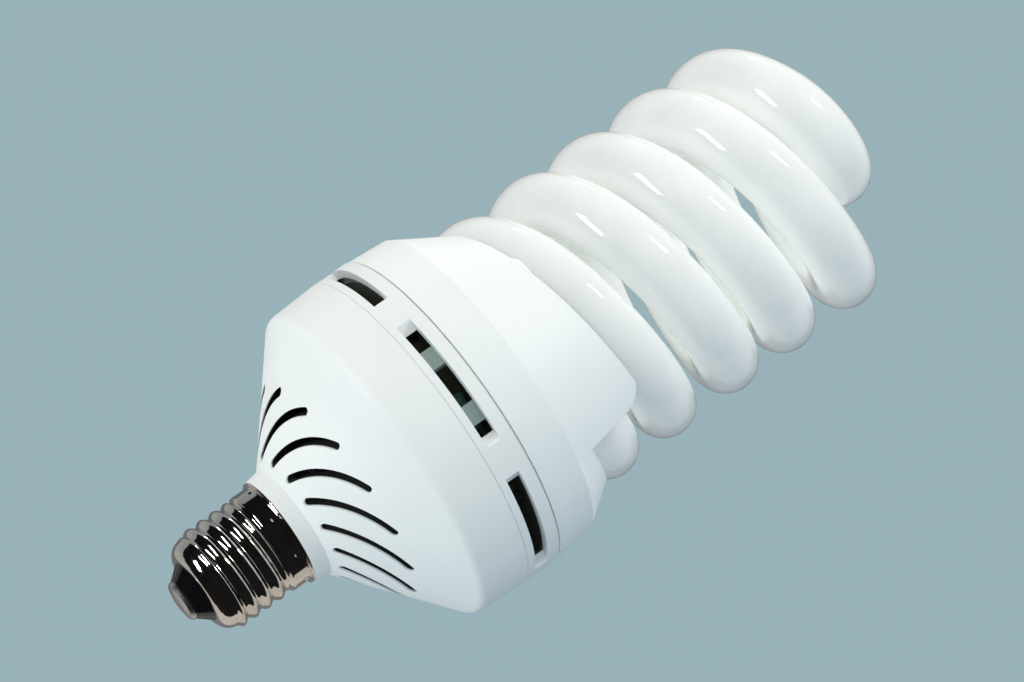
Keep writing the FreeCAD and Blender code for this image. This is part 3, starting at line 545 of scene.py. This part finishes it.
def make_camera():
    """The camera sees the bulb from the cap's side, with the axis rising to the right.
    The fit is in camera terms: right, down and forward."""
    turn = math.radians(CAMERA_AZIMUTH)
    lift = math.radians(CAMERA_ELEVATION)
    along = Vector((math.cos(lift) * math.cos(turn), -math.cos(lift) * math.sin(turn), math.sin(lift)))
    right = Vector((math.sin(turn), math.cos(turn), 0))
    away = along.cross(right)
    origin = CAP_PLACE - along * CAP_BEHIND
    axes = (right, away, along)
    place = Vector([-axis.dot(origin) for axis in axes])
    columns = Matrix(([axis.x for axis in axes], [-axis.y for axis in axes], [-axis.z for axis in axes]))
    camera = bpy.data.objects.new("camera", bpy.data.cameras.new("camera"))
    camera.data.lens = LENS
    camera.data.sensor_width = 36
    camera.data.clip_start = 0.05
    camera.data.clip_end = 50
    camera.matrix_world = Matrix.Translation(place) @ columns.transposed().to_4x4()
    bpy.context.scene.collection.objects.link(camera)
    bpy.context.scene.camera = camera
    return camera


# Light, floor and background, with directions and places in camera terms: right, up and back

BRIGHT_WAY = Vector((-0.58, 0.75, 0.20))
WORLD_STRENGTH = 0.91
WORLD_SHADES = (
    (0.0, (0.10, 0.22, 0.36, 1.0)),
    (0.30, (0.57, 0.68, 0.78, 1.0)),
    (0.55, (1.05, 1.04, 1.02, 1.0)),
    (1.0, (1.10, 1.08, 1.04, 1.0)),
)
ACROSS_BULB = Vector((0.577, -0.816, 0.0))
FLOOR_HEIGHT = -2.6
FLOOR_RADIUS = 6.0
ROOM_REACH = 2.2


def shade_ramp(tree, share, shades):
    """A colour that goes through the given shades as the share goes from 0 to 1."""
    ramp = tree.nodes.new("ShaderNodeValToRGB")
    ramp.color_ramp.elements[0].color = shades[0][1]
    ramp.color_ramp.elements[1].color = shades[-1][1]
    for place, colour in shades[1:-1]:
        ramp.color_ramp.elements.new(place).color = colour
    tree.links.new(share, ramp.inputs["Fac"])
    return ramp.outputs["Color"]


def make_world(camera):
    """Soft light that is brighter and warmer from the upper left of the picture, and the
    flat background where the camera, gloss or glass sees past the bulb."""
    world = bpy.data.worlds.new("world")
    bpy.context.scene.world = world
    world.use_nodes = True
    tree = world.node_tree
    tree.nodes.clear()
    coordinates = tree.nodes.new("ShaderNodeTexCoord")
    facing = tree.nodes.new("ShaderNodeVectorMath")
    facing.operation = "DOT_PRODUCT"
    facing.inputs[1].default_value = (camera.matrix_world.to_3x3() @ BRIGHT_WAY).normalized()
    tree.links.new(coordinates.outputs["Generated"], facing.inputs[0])
    share = range_share(tree, facing.outputs["Value"], -1.0, 1.0)
    light = tree.nodes.new("ShaderNodeBackground")
    light.inputs["Strength"].default_value = WORLD_STRENGTH
    tree.links.new(shade_ramp(tree, share, WORLD_SHADES), light.inputs["Color"])
    seen = tree.nodes.new("ShaderNodeBackground")
    seen.inputs["Color"].default_value = BACKGROUND
    seen.inputs["Strength"].default_value = 1.0
    path = tree.nodes.new("ShaderNodeLightPath")
    camera_or_gloss = number_node(tree, "MAXIMUM", path.outputs["Is Camera Ray"],
                                  path.outputs["Is Glossy Ray"])
    mix = tree.nodes.new("ShaderNodeMixShader")
    tree.links.new(number_node(tree, "MAXIMUM", camera_or_gloss, path.outputs["Is Transmission Ray"]),
                   mix.inputs["Fac"])
    tree.links.new(light.outputs[0], mix.inputs[1])
    tree.links.new(seen.outputs[0], mix.inputs[2])
    out = tree.nodes.new("ShaderNodeOutputWorld")
    tree.links.new(mix.outputs[0], out.inputs["Surface"])


def make_floor():
    """A pale floor far below the bulb, out of the picture."""
    sides = 64
    turns = [2 * math.pi * side / sides for side in range(sides)]
    points = [(FLOOR_RADIUS * math.cos(turn), FLOOR_RADIUS * math.sin(turn), FLOOR_HEIGHT)
              for turn in turns]
    material, tree, shader = new_material("pale_floor")
    vary_colour(tree, shader, 4.0, linear(196, 208, 214), linear(202, 214, 220))
    shader.inputs["Roughness"].default_value = 0.8
    floor = make_piece("floor", points, [tuple(range(sides))], material, False)
    floor.visible_glossy = False


def area_light(name, camera, place, length, height, power, colour=(1, 1, 1)):
    """A soft lamp that faces the bulb from a place given from the bulb's middle, with its
    length across the bulb's axis in the picture."""
    turn = camera.matrix_world.to_3x3()
    middle = (cad_box[0] + cad_box[1]) / 2
    back = (turn @ Vector(place)).normalized()
    along = turn @ ACROSS_BULB
    along = (along - back * along.dot(back)).normalized()
    across = back.cross(along)
    lamp = bpy.data.lights.new(name, "AREA")
    lamp.shape = "RECTANGLE"
    lamp.size = length
    lamp.size_y = height
    lamp.energy = power
    lamp.color = colour
    light = bpy.data.objects.new(name, lamp)
    light.matrix_world = Matrix((along, across, back)).transposed().to_4x4()
    light.location = middle + turn @ Vector(place)
    bpy.context.scene.collection.objects.link(light)
    return light


def make_lights(camera):
    """Three broad lamps that shade the whites, and three small ones that only gloss shows."""
    broad = (area_light("key", camera, (-0.87, 0.25, 0.60), 0.60, 0.20, 1.7),
             area_light("fill", camera, (-0.75, -0.62, 0.38), 0.40, 0.40, 3.7, (1.0, 0.98, 0.95)),
             area_light("side", camera, (0.75, 0.55, 0.32), 0.40, 0.30, 2.5))
    for lamp in broad:
        lamp.visible_glossy = False
    glints = (area_light("strip", camera, (-0.87, 0.15, 0.60), 0.46, 0.17, 6.0),
              area_light("window", camera, (0.59, 0.70, 0.40), 0.20, 0.08, 2.5),
              area_light("far_window", camera, (0.02, 0.80, -0.45), 0.12, 0.07, 0.9))
    for lamp in glints:
        lamp.visible_diffuse = False


def room_shell(camera, name, first_lean, last_lean, first, second):
    """Part of a ball round the bulb, between two angles from the way to the camera, which
    only gloss shows."""
    turn = camera.matrix_world.to_3x3()
    middle = (cad_box[0] + cad_box[1]) / 2
    rings = 16
    sides = 64
    points = []
    for ring in range(rings + 1):
        lean = math.radians(first_lean + (last_lean - first_lean) * ring / rings)
        for side in range(sides):
            round_turn = 2 * math.pi * side / sides
            way = Vector((math.sin(lean) * math.cos(round_turn), math.sin(lean) * math.sin(round_turn),
                          math.cos(lean)))
            points.append(middle + turn @ (way * ROOM_REACH))
    material, tree, shader = new_material(name + "_paint")
    vary_colour(tree, shader, 3.0, first, second)
    shader.inputs["Roughness"].default_value = 1.0
    room = make_piece(name, points, grid_faces(rings + 1, sides), material)
    room.visible_camera = False
    room.visible_diffuse = False
    room.visible_shadow = False
    room.visible_transmission = False


def make_room(camera):
    """Dark behind the camera and a pale table beyond the bulb, as bright metal shows them."""
    room_shell(camera, "dark_room", 0.5, 104, linear(10, 9, 9), linear(20, 18, 17))
    room_shell(camera, "pale_table", 104, 140, linear(206, 199, 188), linear(222, 214, 203))
    room_shell(camera, "far_table", 140, 179.5, linear(128, 127, 126), linear(146, 144, 142))


dress_nodes()
make_spiral()
make_shell()
scene_camera = make_camera()
make_world(scene_camera)
make_floor()
make_lights(scene_camera)
make_room(scene_camera)
bpy.context.scene.view_settings.view_transform = "Standard"
